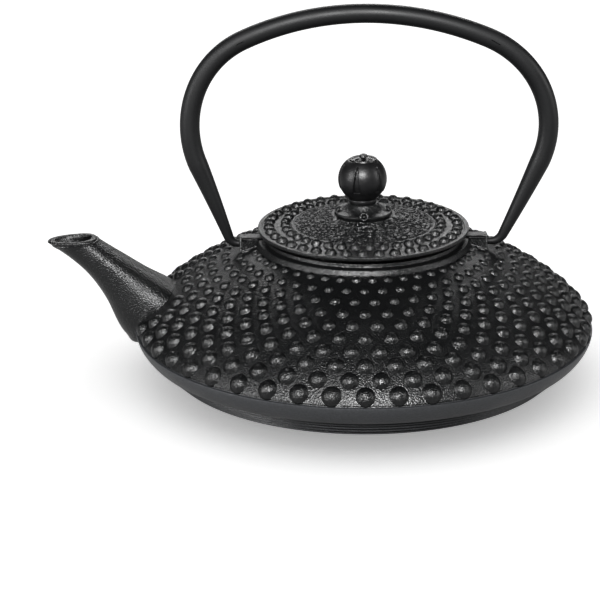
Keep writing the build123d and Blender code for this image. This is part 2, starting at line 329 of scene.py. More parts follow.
def egg(section, proud=0.0, lift=0.0):
    """One egg-shaped ring. It can stand proud of its size, and be lifted along the spout."""
    top_x, top_z, bottom_x, bottom_z, half = section
    middle = np.array(((top_x + bottom_x) / 2, 0, (top_z + bottom_z) / 2))
    up = np.array((top_x - bottom_x, 0, top_z - bottom_z)) / 2
    length = np.linalg.norm(up)
    up, across = up / length, np.array((0.0, 1.0, 0.0))
    angle = around_axis(SPOUT_SIDES)
    cos, sin = np.cos(angle), np.sin(angle)
    power = 2 / SQUARENESS
    tall = (length + proud) * np.sign(cos) * np.abs(cos) ** power
    wide = (half + proud) * np.sign(sin) * np.abs(sin) ** power * (1 + EGG * cos)
    return middle + lift * np.cross(up, across) + np.outer(tall, up) + np.outer(wide, across)


spout_line = through(SPOUT_SECTIONS, STEPS_BETWEEN)
before_mouth, mouth = spout_line[-1 - STEPS_BETWEEN], spout_line[-1]
spout_rings = [egg(section) for section in spout_line[: -1 - STEPS_BETWEEN // 2]]
for share, proud in BEAD:
    spout_rings.append(egg(before_mouth + (mouth - before_mouth) * share, proud))
spout_rings += [egg(mouth, -0.05, 0.3), egg(mouth, -0.35, 0.5)]
spout = make("spout", [skin(spout_rings)])
spout_surface = BVHTree.FromObject(spout, bpy.context.evaluated_depsgraph_get())
bore = make("bore", [skin([egg(section) for section in through(BORE_SECTIONS, STEPS_BETWEEN)])])
print("spout:", len(spout_rings), "rings")

# %% [markdown]
# Two lugs stand on the dome beside the collar and hold the bail. Each is a wedge with a flat top, and it
# ends in a thin flange that spreads into the dome like the foot of a bracket. The sides are left rough,
# with raised veins like a feather. Both plates are drawn from the front as half an outline that is
# mirrored, the veins are thin rods, and all of them are joined to the casting.

# %% The lugs
LUG_START, LUG_END = 41.0, 52.6
PIVOT_HEIGHT, PIVOT_RADIUS, PIVOT_DEPTH = 58.2, 1.53, 8.2
LUG_SIDE = ((2.5, 61.6), (2.6, 60.9), (1.8, 60.6), (1.8, 60.2), (2.6, 59.9), (6.1, 56.6), (7.2, 50.0))
FLANGE_HEAD = ((2.6, 61.7), (2.9, 60.3))
FLANGE_FOOT = ((6.5, 1.15), (7.6, 0.75), (9.4, 0.55), (12.2, 0.35), (12.8, -1.0))
FLANGE_THICKNESS = 1.0
VEIN, VEIN_GAP, VEIN_LEAN = 0.34, 1.15, 1.7
VEIN_TOP, VEIN_FOOT = (2.8, 59.8), (5.4, 57.35)
RIDGE, RIDGE_TOP, RIDGE_FOOT = 0.42, (3.9, 59.0), (6.3, 56.7)
ROD_SIDES = 8


def rod(start, end, radius):
    """A thin round rod from one point to another."""
    facing = np.array((Vector(end) - Vector(start)).to_track_quat("Z", "Y").to_matrix())
    ring = ring_of(radius, 0.0, around_axis(ROD_SIDES)) @ facing.T
    return skin([ring + start, ring + end])


def plate(right_half, start, end, rounding=0.35):
    """A plate across X: the right half of its outline in (y, z) is mirrored, and its edges are softened."""
    outline = [(y, z, rounding) for y, z in right_half]
    outline += [(-y, z, rounding) for y, z in reversed(right_half)]
    line = np.array([tuple(p) for p in rounded(outline, loop=True, steps=3)])
    middle = line.mean(0)
    inward = (middle - line) / np.linalg.norm(line - middle, axis=1)[:, None]
    rings = []
    for x, inset in ((start, 0.25), (start + 0.2, 0), (end - 0.25, 0), (end, 0.3)):
        rings.append(np.column_stack([np.full(len(line), x), line + inset * inward]))
    return skin(rings)


def dome_height(radius):
    """Height of the dome at a radius."""
    return float(np.interp(radius, [p.x for p in reversed(dome)], [p.y for p in reversed(dome)]))


def on_side(front, start, end, radius):
    """A rod on the back (1) or the front (-1) of a lug."""
    flip = np.array((1, front, 1))
    return rod(flip * start, flip * end, radius)


def lug_parts():
    """The closed solids that make up the lug on the far side from the spout."""
    foot = [(y, dome_height(math.hypot(LUG_END, y)) + lift) for y, lift in FLANGE_FOOT]
    parts = [
        plate(LUG_SIDE, LUG_START, LUG_END - 0.4),
        plate([*FLANGE_HEAD, *foot, (FLANGE_FOOT[-1][0], 50.0)], LUG_END - FLANGE_THICKNESS, LUG_END, 0.2),
    ]
    for front in (-1, 1):
        for x in np.arange(LUG_START + 1.2, LUG_END - 2.2, VEIN_GAP):
            parts.append(on_side(front, (x, *VEIN_TOP), (x + VEIN_LEAN, *VEIN_FOOT), VEIN))
        ridge = (LUG_START + 1.0, *RIDGE_TOP), (LUG_END - 0.6, *RIDGE_FOOT)
        parts.append(on_side(front, *ridge, RIDGE))
    return parts


for side in (-1, 1):
    for number, (points, faces) in enumerate(lug_parts()):
        carve(pot, make(f"lug_{number}", [(points * (side, 1, 1), faces)]), "UNION")
carve(pot, spout, "UNION")
print("with its lugs and its spout the casting has", len(pot.data.polygons), "faces")

# %% [markdown]
# The hollow follows the outside at a wall's thickness, with the ledge for the infuser turned into the
# collar. It, the spout's bore and the two pivot holes are cut last, so that tea could really run through.

# %% The hollow, the bore and the pivot holes
HOLLOW_TOP, HOLLOW_FLOOR = 70.0, 4.4
NECK_END = (50.0, 52.3)
ROOF = ((39.5, 56.3), (77.7, 40.9), (90.2, 28.0), (93.6, 23.6))
BOWL = ((93.6, 23.6), (93.0, 17.0), (85.0, 7.0), (70.0, HOLLOW_FLOOR))
HOLE_SIDES = 32

hollow = rounded([
    (CORE, HOLLOW_TOP, 0),
    (LEDGE, HOLLOW_TOP, 0),
    (LEDGE, LEDGE_HEIGHT, 0.2),
    (MOUTH, LEDGE_HEIGHT, 0.5),
])
hollow = hollow[:-1] + rounded([(MOUTH, LEDGE_HEIGHT, 0), (MOUTH, 56.9, 1.5), (*NECK_END, 0)])[1:-1]
hollow += pulled(*ROOF, 24) + pulled(*BOWL, 14)[1:]
hollow.append((CORE, HOLLOW_FLOOR))
carve(pot, make("hollow", [skin(turned(hollow, POT_SIDES // 2))]), "DIFFERENCE")
carve(pot, bore, "DIFFERENCE")
for side in (-1, 1):
    hole = [(0.01, -1), (PIVOT_RADIUS, -1), (PIVOT_RADIUS, PIVOT_DEPTH), (0.01, PIVOT_DEPTH)]
    hole = turned(hole, HOLE_SIDES)
    hole = np.stack([side * (LUG_END + 0.01 - hole[..., 2]), hole[..., 1], PIVOT_HEIGHT + hole[..., 0]], -1)
    carve(pot, make("pivot_hole", [skin(hole)]), "DIFFERENCE")
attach(pot, "pot")
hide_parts("pot_base", "pot_body", "spout")
print("bored and hollowed, it has", len(pot.data.polygons), "faces")

# %% [markdown]
# The hobnails are what the eye goes to. A pattern maker presses them into the mould one by one, in rings
# of 46 that are spaced evenly up the dome, each ring turned by half a nail from the one below. So they
# shrink towards the collar, because the same number has to fit on a smaller ring. Each is a low round
# head with a small flare where it meets the dome. We leave out those that the spout and the lugs cover,
# and let the rest vary by a fiftieth, as work by hand does.

# %% Hobnails on the dome
NAILS_A_RING, NAIL_RINGS, FIRST_TURN = 46, 10, math.radians(-91.5)
FIRST_RING, RING_STEP = 3.9, 6.4
NAIL_SHARE = 0.0362
NAIL_OUTLINE = ((1.2, -0.3), (1.18, -0.1), (1.1, 0.02), (1.02, 0.1))
NAIL_HEIGHT = 0.66
NAIL_SHARP = 50
SPOUT_ROOM = 0.75
LUG_ROOM, LUG_SHARE, END_SHARE = 5.8, 0.6, 0.9
NAIL_SIDES, NAIL_STEPS = 24, (14, 32, 50, 68, 82)
HAND_WORK = 0.02
HAND_SEED = 46
chance = random.Random(HAND_SEED)


def nail_outline(height):
    """Outline of a nail of radius 1: a flare, then a dome of the given height."""
    return [Vector(p) for p in NAIL_OUTLINE] + [
        Vector((math.cos(math.radians(a)), height * math.sin(math.radians(a)))) for a in NAIL_STEPS
    ]


def nail(place, out, radius, height=NAIL_HEIGHT):
    """One nail standing on a point of a surface, along the direction that faces out."""
    rings = turned(nail_outline(height), NAIL_SIDES) * radius
    facing = np.array(Vector(out).to_track_quat("Z", "Y").to_matrix())
    return skin(rings @ facing.T + np.array(place))


steps = np.cumsum([0] + [(b - a).length for a, b in zip(dome, dome[1:])])
nails = []
for ring in range(NAIL_RINGS):
    index = int(np.searchsorted(steps, FIRST_RING + RING_STEP * ring))
    radius, height = dome[index]
    slope = (dome[index + 1] - dome[index - 1]).normalized()
    size = NAIL_SHARE * radius
    for number in range(NAILS_A_RING):
        turn = TURN * (number + 0.5 * (ring % 2)) / NAILS_A_RING + FIRST_TURN
        turn += chance.gauss(0, HAND_WORK) * size / radius
        round_, out = np.array((math.cos(turn), math.sin(turn), 0)), np.array((0, 0, 1))
        place = radius * round_ + height * out
        nearest, facing, _, away = spout_surface.find_nearest(Vector(place) * MM)
        inside = (Vector(place) * MM - nearest).dot(facing) < 0
        by_spout = inside or away / MM < SPOUT_ROOM * size
        beside_lug = abs(place[1]) < LUG_ROOM + LUG_SHARE * size
        if by_spout or (beside_lug and abs(place[0]) < LUG_END + END_SHARE * size):
            continue
        own = size * (1 + chance.gauss(0, HAND_WORK))
        nails.append(nail(place, slope.y * round_ - slope.x * out, own))
hobnails = make("hobnails", nails, sharp=NAIL_SHARP)
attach(hobnails, "pot")
print(len(nails), "hobnails,", len(hobnails.data.polygons), "faces")

# %% [markdown]
# The lid is a turned casting too: a rim, a shallow cone and a skirt underneath that centres it. Between
# a smooth ring and the knob the cone is wrinkled like leather. That is real relief on the real lid, so we
# move the points of a fine mesh. The wrinkles are bent grooves a little over a millimetre apart. They lie
# where a smooth random field crosses zero, after its place has been bent by a second field. That one is
# different each time unless it gets a seed, so we give it one, and the lid always comes out the same.

# %% The lid
LID_SIDES = 600
RIM_INNER, RIM_DROP, RIM_EDGE = 42.9, 0.4, 1.4
CONE_FOOT, CONE_TOP = Vector((29.6, 66.6)), Vector((13.4, 71.0))
SHANK_HOLE = 2.1
LID_LAND, LID_SEAT = 39.6, 61.5
SKIRT_OUTER, SKIRT_INNER = 35.3, 32.3
WRINKLE, WRINKLE_DEPTH, WRINKLE_BEND = 1.3, 0.62, 0.6
GROOVE_SLOPE, BEND_SIZE, FADE_RINGS = 3.2, 0.8, 3
ALONG, OUTWARDS = 0.6, 0.8
CONE_RINGS = 56
NOISE_SEED = 46
LID_RIM_TOP = 65.8
LID_HOLLOW, LID_UNDER = 62.6, 66.8

noise.seed_set(NOISE_SEED)
lid_edge = lid_high.x
cone = [CONE_TOP + (CONE_FOOT - CONE_TOP) * t for t in np.linspace(0, 1, CONE_RINGS)]
over = rounded([
    (CONE_FOOT.x, CONE_FOOT.y, 0),
    (CONE_FOOT.x + 0.15, CONE_FOOT.y + 0.25, 0.1),
    (CONE_FOOT.x + 1.0, CONE_FOOT.y + 0.2, 0.2),
    (CONE_FOOT.x + 1.2, CONE_FOOT.y - 0.15, 0.1),
    (RIM_INNER - 0.1, LID_RIM_TOP - RIM_DROP, 0.15),
    (RIM_INNER, LID_RIM_TOP, 0.15),
    (lid_edge, LID_RIM_TOP, 0.35),
    (lid_edge, LID_RIM_TOP - RIM_EDGE, 0.25),
    (LID_LAND, LID_RIM_TOP - RIM_EDGE, 0.3),
    (LID_LAND, LID_SEAT, 0.3),
    (SKIRT_OUTER, LID_SEAT, 0.3),
    (SKIRT_OUTER, lid_low.z, 0.5),
    (SKIRT_INNER, lid_low.z, 0.5),
    (SKIRT_INNER, LID_HOLLOW, 1.2),
    (12.0, LID_UNDER, 1.0),
    (SHANK_HOLE, LID_UNDER, 0),
])
lid_rings = turned([(SHANK_HOLE, CONE_TOP.y)] + cone + over[1:], LID_SIDES)


def wrinkle(x, y):
    """How far a wrinkle stands out at a point of the cone, in millimetres."""
    place = Vector((ALONG * x, ALONG * y, OUTWARDS * math.hypot(x, y))) / WRINKLE
    place += WRINKLE_BEND * noise.noise_vector(place * BEND_SIZE)
    return WRINKLE_DEPTH * (min(1.0, GROOVE_SLOPE * abs(noise.noise(place))) - 0.5)


for row in range(2, CONE_RINGS):
    fade = min(1.0, (CONE_RINGS - row) / FADE_RINGS)
    for point in lid_rings[row]:
        point[2] += fade * wrinkle(point[0], point[1])
lid = make("lid_casting", [skin(lid_rings, loop=True)])
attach(lid, "lid")
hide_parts("lid")
print("lid:", len(lid.data.polygons), "faces")

# %% [markdown]
# Two rings of nails stand on the lid, turned by different amounts. They are nearly half balls, so they
# are taller for their width than those on the pot. The same helper makes them.

# %% Hobnails on the lid
# (how many, radius of the ring, radius of a nail, share of a step that the first is turned by)
LID_NAILS = ((38, 40.0, 2.25, -0.24), (36, 33.1, 2.1, 0.24))
LID_NAIL_HEIGHT = 0.98

ring_slope = (Vector((RIM_INNER, LID_RIM_TOP - RIM_DROP)) - CONE_FOOT).normalized()
lid_nails = []
for count, radius, size, first in LID_NAILS:
    height = CONE_FOOT.y + (radius - CONE_FOOT.x) * ring_slope.y / ring_slope.x
    for number in range(count):
        turn = TURN * (number + first) / count - TURN / 4
        turn += chance.gauss(0, HAND_WORK) * size / radius
        round_ = np.array((math.cos(turn), math.sin(turn), 0))
        place = radius * round_ + (0, 0, height)
        own = size * (1 + chance.gauss(0, HAND_WORK))
        out = -ring_slope.y * round_ + (0, 0, ring_slope.x)
        lid_nails.append(nail(place, out, own, LID_NAIL_HEIGHT))
lid_hobnails = make("lid_hobnails", lid_nails, sharp=NAIL_SHARP)
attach(lid_hobnails, "lid")
print(len(lid_nails), "nails on the lid")

# %% [markdown]
# Under the knob is a little bell, cast with four lobes and a curl in each notch between them. A turned
# shape whose edge comes and goes with the angle gives the lobes, and a curl is a ring round a bead.

# %% The knob's seat
SEAT_SIDES = 240
LOBE_EDGE, NOTCH_EDGE = 12.7, 10.7
BELL_TOP_RADIUS = 6.3
EDGE_TOP = 72.6
LOBE_FULLNESS, BELL_CURVE = 0.55, 2.2
EDGE_HEIGHT = 1.6
# (how far in from the edge, how far above its top)
EDGE_OUTLINE = ((0.7, 0.06), (0.35, 0.08), (0.08, -0.1), (0, -0.35), (0.1, -1.2), (0.4, -EDGE_HEIGHT))
CURL_RADIUS, CURL_WIRE, CURL_BEAD, CURL_REACH = 1.5, 0.6, 0.75, 10.9
CURL_TILT, BEAD_FLATNESS = 58, 0.8

angles = around_axis(SEAT_SIDES)
edge = NOTCH_EDGE + (LOBE_EDGE - NOTCH_EDGE) * np.abs(np.sin(2 * angles)) ** LOBE_FULLNESS
seat_outline = [(SHANK_HOLE, seat_high.z), (BELL_TOP_RADIUS - 0.3, seat_high.z)]
for t in np.linspace(0, 1, 16):
    reach = BELL_TOP_RADIUS + (edge - 0.9 - BELL_TOP_RADIUS) * t
    seat_outline.append((reach, EDGE_TOP + (seat_high.z - 0.2 - EDGE_TOP) * (1 - t) ** BELL_CURVE))
seat_outline += [(edge - inset, EDGE_TOP + height) for inset, height in EDGE_OUTLINE]
seat_outline.append((SHANK_HOLE, EDGE_TOP - EDGE_HEIGHT))
seat_rings = [ring_of(radius, height, angles) for radius, height in seat_outline]


def curl(turn):
    """A ring round a bead, facing outwards and a little up, in the notch at that angle."""
    facing = Matrix.Rotation(turn, 3, "Z") @ Matrix.Rotation(math.radians(CURL_TILT), 3, "Y")
    facing = np.array(facing).T
    place = np.array((CURL_REACH * math.cos(turn), CURL_REACH * math.sin(turn), EDGE_TOP + 0.1))
    section = [
        (CURL_RADIUS + CURL_WIRE * math.cos(a), CURL_WIRE * math.sin(a))
        for a in np.linspace(0, TURN, 13)[:-1]
    ]
    ring = turned(section, 28).swapaxes(0, 1)
    bead = turned([
        (CURL_BEAD * math.cos(a), BEAD_FLATNESS * CURL_BEAD * math.sin(a))
        for a in np.linspace(-1.5, 1.5, 9)
    ], 16)
    return [skin(ring @ facing + place, loop=True), skin(bead @ facing + place)]


curls = [part for quarter in range(4) for part in curl(quarter * TURN / 4)]
knob_seat = make("knob_seat_bell", [skin(seat_rings, loop=True)] + curls)
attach(knob_seat, "lid")
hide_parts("knob_seat")
print("seat:", len(knob_seat.data.polygons), "faces")

# %% [markdown]
# The knob is a bud. Six petals wrap it from the top down to just below its middle, and the gaps between
# them are narrow pointed arches that open downwards. The petals stand a little proud, so each point of a
# full ball is sunk towards the middle if it lies in a gap, and less if it lies under the petals' edge.

# %% The knob
KNOB_SIDES, KNOB_RINGS = 300, 110
BALL, BALL_HEIGHT = 10.25, 86.3
PETALS, FIRST_GAP = 6, math.radians(-90 - 17)
PETAL_EDGE, GAP_POINT, GAP_WIDTH = 82.0, 93.2, 2.6
PETAL_RISE, PETAL_SOFT, UNDER_PETALS = 0.75, 0.35, 0.3
PETAL_ARCH, GAP_CURVE = 0.9, 0.8
NECK, NECK_RING = 5.3, 6.0
BALL_START = 78.1
OFF_CENTRE = -0.35  # the knob stands a little crooked on its pin

neck = rounded([
    (SHANK_HOLE, seat_high.z, 0),
    (NECK, seat_high.z, 0),
    (NECK, 76.5, 0.15),
    (NECK_RING, 76.5, 0.3),
    (NECK_RING, 77.8, 0.4),
    (5.5, 78.05, 0),
])
first_tilt = math.asin((BALL_START - BALL_HEIGHT) / BALL)
last_tilt = math.asin((knob_high.z - BALL_HEIGHT) / BALL)
tilts = np.linspace(first_tilt, last_tilt, KNOB_RINGS)
ball = [(BALL * math.cos(a), BALL_HEIGHT + BALL * math.sin(a)) for a in tilts]
knob_rings = turned(neck + ball + [(SHANK_HOLE, knob_high.z)], KNOB_SIDES)


def soft(value, width):
    """0 below zero, 1 above the width, and smooth between them."""
    t = np.clip(value / width, 0, 1)
    return t * t * (3 - 2 * t)


def below_petals(x, y, z):
    """How far the surface of the knob is sunk below its petals, from 0 to 1."""
    spread = TURN / PETALS
    from_gap = (np.arctan2(y, x) - FIRST_GAP + spread / 2) % spread - spread / 2
    half_gap = GAP_WIDTH / 2 * np.clip((GAP_POINT - z) / (GAP_POINT - PETAL_EDGE), 0, 1) ** GAP_CURVE
    gap = 1 - soft(np.abs(from_gap) * np.hypot(x, y) - half_gap, PETAL_SOFT)
    gap = np.where(z > GAP_POINT, 0.0, gap)
    under = 1 - soft(z - PETAL_EDGE + PETAL_ARCH * (from_gap / spread * 2) ** 2, PETAL_SOFT)
    return np.where(z > PETAL_EDGE, gap, np.maximum(gap * (1 - under), UNDER_PETALS * under))


carved = knob_rings[len(neck):-2]
middle = np.array((0, 0, BALL_HEIGHT))
sunk = PETAL_RISE * below_petals(*np.moveaxis(carved, -1, 0))
carved[:] = middle + (carved - middle) * (1 - sunk / BALL)[..., None]
knob_rings[..., 0] += OFF_CENTRE
knob = make("knob_bud", [skin(knob_rings, loop=True)])
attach(knob, "lid")
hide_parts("knob")
print("knob:", len(knob.data.polygons), "faces")

# %% [markdown]
# The pin that holds the knob has a flower for a head: a raised rim, eight spokes with teardrops sunk
# between them, and a boss with a dimple. Its shank goes down through the lid to a washer and a nut.

# %% The pin with the flower
FLOWER_SIDES = 240
HEAD_RADIUS, HEAD_TOP, HEAD_BASE, HEAD_CROWN = 5.85, 94.85, 93.4, 1.2
SPOKES = 8
RIM_START, RIM_RISE, TEAR_START, TEAR_END = 5.0, 0.18, 2.1, 4.75
TEAR_DEPTH, TEAR_WIDTH, TEAR_ROUND = 0.85, 1.15, 0.72
BOSS, BOSS_TOP, DIMPLE, DIMPLE_DEPTH = 1.75, 97.0, 0.8, 0.45
SHANK, SHANK_END = 2.0, 62.9


def flower_height(radius, angle):
    """Height of the flower's face."""
    pitch = TURN / SPOKES
    off = np.abs((angle + pitch / 2) % pitch - pitch / 2) * radius
    share = np.clip((radius - TEAR_START) / (TEAR_END - TEAR_START), 0, 1)
    blunt = np.clip((share - TEAR_ROUND) / (1 - TEAR_ROUND), 0, 1)
    half_tear = TEAR_WIDTH * share**0.8 * np.sqrt(np.clip(1 - blunt**2, 0, 1))
    tear = soft(half_tear - off, 0.35) * (share > 0)
    rim = RIM_RISE * soft(radius - RIM_START, 0.25) - 0.5 * soft(radius - HEAD_RADIUS + 0.3, 0.3)
    boss = (BOSS_TOP - HEAD_TOP - HEAD_CROWN) * (1 - soft(radius - BOSS + 0.35, 0.4))
    dimple = DIMPLE_DEPTH * (1 - soft(radius - DIMPLE + 0.4, 0.4))
    crown = HEAD_CROWN * (1 - (radius / HEAD_RADIUS) ** 1.6)
    return HEAD_TOP - 0.1 + crown - TEAR_DEPTH * tear + rim + boss - dimple


flower_angles = around_axis(FLOWER_SIDES)
face_radii = [*np.linspace(0.05, 5.5, 44), *np.linspace(5.58, HEAD_RADIUS, 5)]
face_rings = [ring_of(radius, flower_height(radius, flower_angles), flower_angles) for radius in face_radii]
shank_rings = turned([
    (HEAD_RADIUS, HEAD_BASE),
    (SHANK, HEAD_BASE),
    (SHANK, SHANK_END + 0.3),
    (SHANK - 0.3, SHANK_END),
], FLOWER_SIDES)
pin = make("knob_pin_flower", [skin([*face_rings, *shank_rings])])
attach(pin, "lid")
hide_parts("knob_pin")
print("pin:", len(pin.data.polygons), "faces")

# %% [markdown]
# The bail is one iron bar. It is forged round and full over the top and down the shoulders, drawn out
# thinner down two straight limbs, and bent sharply into hooks that turn in the lugs. We walk along it
# from the top to one pin as straight and curved runs, and mirror that. A bar bent by hand is never quite
# even: this one leans away from the spout by two millimetres, most of all at mid height. A seam shows as
# a short slit on each shoulder, which we cut with a thin block.

# %% The bail
BAIL_TOP = 156.6
BAIL_RUNS = (
    # (angle in degrees or length, radius of the curve, steps, thickness at the end)
    (24.0, 123.0, 26, 4.05),
    (88.7, 41.0, 44, 4.15),
    (34.06, None, 20, 2.1),
    (67.3, 5.0, 12, 1.55),
    (1.2, None, 3, PIVOT_RADIUS - 0.1),
    (6.3, None, 6, PIVOT_RADIUS - 0.1),
    (0.4, None, 2, 1.1),
)
TOP_THICKNESS = 3.9
BAIL_SIDES = 48
LEAN, LEAN_HEIGHT, LEAN_LOST = 2.45, 103.0, 0.65
SPREAD, SINK = 1.006, 0.3
# (side, degrees from the top, length, depth)
SLITS = ((1, 30.0, 4.6, 0.75), (-1, 26.5, 3.6, 0.45))
SLIT_WIDTH = 0.42
TOP_BEND, TOP_STEPS = BAIL_RUNS[0][0], BAIL_RUNS[0][2]
DEGREES_A_STEP = BAIL_RUNS[1][0] / BAIL_RUNS[1][2]


def block(place, size, rounding, turn=0.0):
    """A block with rounded edges, turned about Y by an angle in degrees, as (points, faces)."""
    work = bmesh.new()
    bmesh.ops.create_cube(work, size=1.0)
    bmesh.ops.scale(work, vec=size, verts=work.verts)
    bmesh.ops.bevel(work, geom=work.edges[:], offset=rounding, segments=3, affect="EDGES")
    bmesh.ops.rotate(work, matrix=Matrix.Rotation(math.radians(turn), 3, "Y"), verts=work.verts)
    bmesh.ops.translate(work, vec=place, verts=work.verts)
    work.verts.ensure_lookup_table()
    points = np.array([v.co[:] for v in work.verts])
    faces = [[v.index for v in face.verts] for face in work.faces]
    work.free()
    return points, faces


def walk(place, runs, thickness):
    """Points (x, z, thickness) along straight runs and curves that all turn the same way."""
    heading, line = 0.0, [(*place, thickness)]
    for amount, radius, count, end in runs:
        turn = 0.0 if radius is None else math.radians(amount) / count
        step = amount / count if radius is None else 2 * radius * math.sin(turn / 2)
        for number in range(count):
            heading -= turn / 2
            place = (place[0] + step * math.cos(heading), place[1] + step * math.sin(heading))
            heading -= turn / 2
            line.append((*place, thickness + (end - thickness) * (number + 1) / count))
        thickness = end
    return line


half = np.array(walk((0.0, BAIL_TOP), BAIL_RUNS, TOP_THICKNESS))
bar = np.vstack([half[::-1] * (-1, 1, 1), half[1:]])
height = bar[:, 1]
above = np.clip((height - LEAN_HEIGHT) / (BAIL_TOP - LEAN_HEIGHT), 0, 1)
below = np.clip((LEAN_HEIGHT - height) / (LEAN_HEIGHT - PIVOT_HEIGHT), 0, 1)
bar[:, 0] = SPREAD * bar[:, 0] + LEAN * (1 - above**2) * (1 - LEAN_LOST * below**2)
bar[:, 1] -= SINK * above**2
ahead = np.gradient(bar[:, :2], axis=0)
ahead /= np.linalg.norm(ahead, axis=1)[:, None]
around = around_axis(BAIL_SIDES)
bar_rings = []
for (x, z, thick), (way_x, way_z) in zip(bar, ahead):
    out = thick * np.cos(around)
    bar_rings.append(np.column_stack([x - way_z * out, thick * np.sin(around), z + way_x * out]))
bail = make("bail_bar", [skin(bar_rings)])
for side, turn, length, depth in SLITS:
    row = TOP_STEPS + int((turn - TOP_BEND) / DEGREES_A_STEP)
    x, z, thick = bar[len(half) - 1 + side * row]
    slit = block((x, -thick, z), (length, 2 * depth, SLIT_WIDTH), 0.18, turn=side * turn)
    carve(bail, make("slit", [slit]), "DIFFERENCE")
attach(bail, "bail")
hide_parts("handle")
print("the bar is", round(float(np.linalg.norm(np.diff(bar[:, :2], axis=0), axis=1).sum())), "mm long")

# %% [markdown]
# The infuser is a stainless steel basket. Its rim and its hoop are pressed from thin sheet, so they are
# turned outlines with rounded bends. Its wall and floor are woven wire. The real cloth has about three
# wires to the millimetre, too fine to show, so it is woven here with a pitch of 1.6 mm. Each wire is a
# thin tube that passes over and under the ones it crosses.

# %% The infuser
BAND, SHEET = 37.4, 0.5
BAND_BOTTOM, FLANGE_TOP, FLANGE_EDGE = 52.0, 61.4, 40.1
HOOP_BOTTOM, HOOP_TOP, HOOP_LIP = 15.6, 20.5, 33.5
CLOTH, CLOTH_PITCH, WIRE, WEAVE = 36.65, 1.6, 0.19, 0.17
CLOTH_START, CLOTH_END, CLOTH_LIFT = HOOP_BOTTOM + 1.0, BAND_BOTTOM + 5.0, 0.35
UPRIGHTS = 144
SHEET_SIDES = 240
WIRE_SIDES = 5

rim_line = rounded([
    (BAND - SHEET, BAND_BOTTOM, 0.1),
    (BAND, BAND_BOTTOM, 0.1),
    (BAND, 55.6, 0.4),
    (BAND + 0.35, 56.2, 0.4),
    (BAND, 56.8, 0.4),
    (BAND, FLANGE_TOP - 0.6, 0.25),
    (FLANGE_EDGE, FLANGE_TOP - 0.6, 0.25),
    (FLANGE_EDGE, FLANGE_TOP, 0.25),
    (BAND - SHEET, FLANGE_TOP, 0.7),
    (BAND - SHEET, 56.9, 0.4),
    (BAND - SHEET + 0.35, 56.2, 0.4),
    (BAND - SHEET, 55.5, 0.4),
], loop=True)
hoop_line = rounded([
    (BAND, HOOP_BOTTOM, 0.7),
    (BAND, HOOP_TOP, 0.15),
    (BAND - SHEET, HOOP_TOP, 0.15),
    (BAND - SHEET, HOOP_BOTTOM + SHEET, 0.4),
    (HOOP_LIP, HOOP_BOTTOM + SHEET, 0.2),
    (HOOP_LIP, HOOP_BOTTOM, 0.2),
], loop=True)


def wire(path, away, loop=False):
    """A thin tube along a path; away is a direction that is never along it."""
    path = np.asarray(path, float)
    along = np.roll(path, -1, 0) - np.roll(path, 1, 0) if loop else np.gradient(path, axis=0)
    along /= np.linalg.norm(along, axis=1)[:, None]
    side = np.cross(along, away)
    side /= np.linalg.norm(side, axis=1)[:, None]
    up = np.cross(side, along)
    rings = [path + WIRE * (math.cos(a) * side + math.sin(a) * up) for a in around_axis(WIRE_SIDES)]
    return skin(np.stack(rings, 1), loop)


def upright(number):
    """One upright wire of the basket's wall."""
    turn = TURN * number / UPRIGHTS
    level = np.arange(CLOTH_START, CLOTH_END, CLOTH_PITCH / 2)
    radius = CLOTH + WEAVE * np.cos(math.pi * (np.arange(len(level)) / 2 + number))
    out = np.array((math.cos(turn), math.sin(turn), 0))
    return wire(np.column_stack([radius * out[0], radius * out[1], level]), out)


def hoop_wire(number):
    """One wire that runs round the basket's wall."""
    turns = np.arange(2 * UPRIGHTS) * TURN / (2 * UPRIGHTS)
    radius = CLOTH - WEAVE * np.cos(math.pi * (number + np.arange(2 * UPRIGHTS) / 2))
    out = np.column_stack([np.cos(turns), np.sin(turns), 0 * turns])
    level = np.full(2 * UPRIGHTS, CLOTH_START + number * CLOTH_PITCH)
    return wire(np.column_stack([radius * out[:, 0], radius * out[:, 1], level]), out, loop=True)


def floor_wire(number, across):
    """One wire of the basket's floor, along X or, if it is across, along Y."""
    off = number * CLOTH_PITCH
    reach = math.sqrt(CLOTH**2 - off**2)
    place = np.arange(-math.floor(reach / CLOTH_PITCH) * 2, math.floor(reach / CLOTH_PITCH) * 2 + 1) / 2
    weave = (-1 if across else 1) * WEAVE * np.cos(math.pi * (place + number))
    level = HOOP_BOTTOM + SHEET + CLOTH_LIFT + weave
    along, aside = place * CLOTH_PITCH, np.full(len(place), off)
    columns = [aside, along, level] if across else [along, aside, level]
    return wire(np.column_stack(columns), (0, 0, 1))


hoop_wires = int((CLOTH_END - CLOTH_START) / CLOTH_PITCH)
floor_wires = range(-int(CLOTH / CLOTH_PITCH) + 1, int(CLOTH / CLOTH_PITCH))
basket = {
    "infuser_rim_pressed": ("infuser_rim", [skin(turned(rim_line, SHEET_SIDES), loop=True)]),
    "infuser_hoop_pressed": ("infuser_hoop", [skin(turned(hoop_line, SHEET_SIDES), loop=True)]),
    "infuser_wall_woven": (
        "infuser_wall",
        [upright(number) for number in range(UPRIGHTS)] + [hoop_wire(number) for number in range(hoop_wires)],
    ),
    "infuser_floor_woven": (
        "infuser_floor",
        [floor_wire(number, across) for number in floor_wires for across in (False, True)],
    ),
}
pieces = {}
for name, (node, parts) in basket.items():
    pieces[name] = make(name, parts)
    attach(pieces[name], "infuser")
    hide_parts(node)
    print(name, len(pieces[name].data.polygons), "faces")

# %% [markdown]
# A washer and a hexagon nut hold the pin under the lid. A nut is turned before its flats are milled, so
# its corners are cut by a cone. Taking the smaller of the hexagon and the cone gives the same shape.

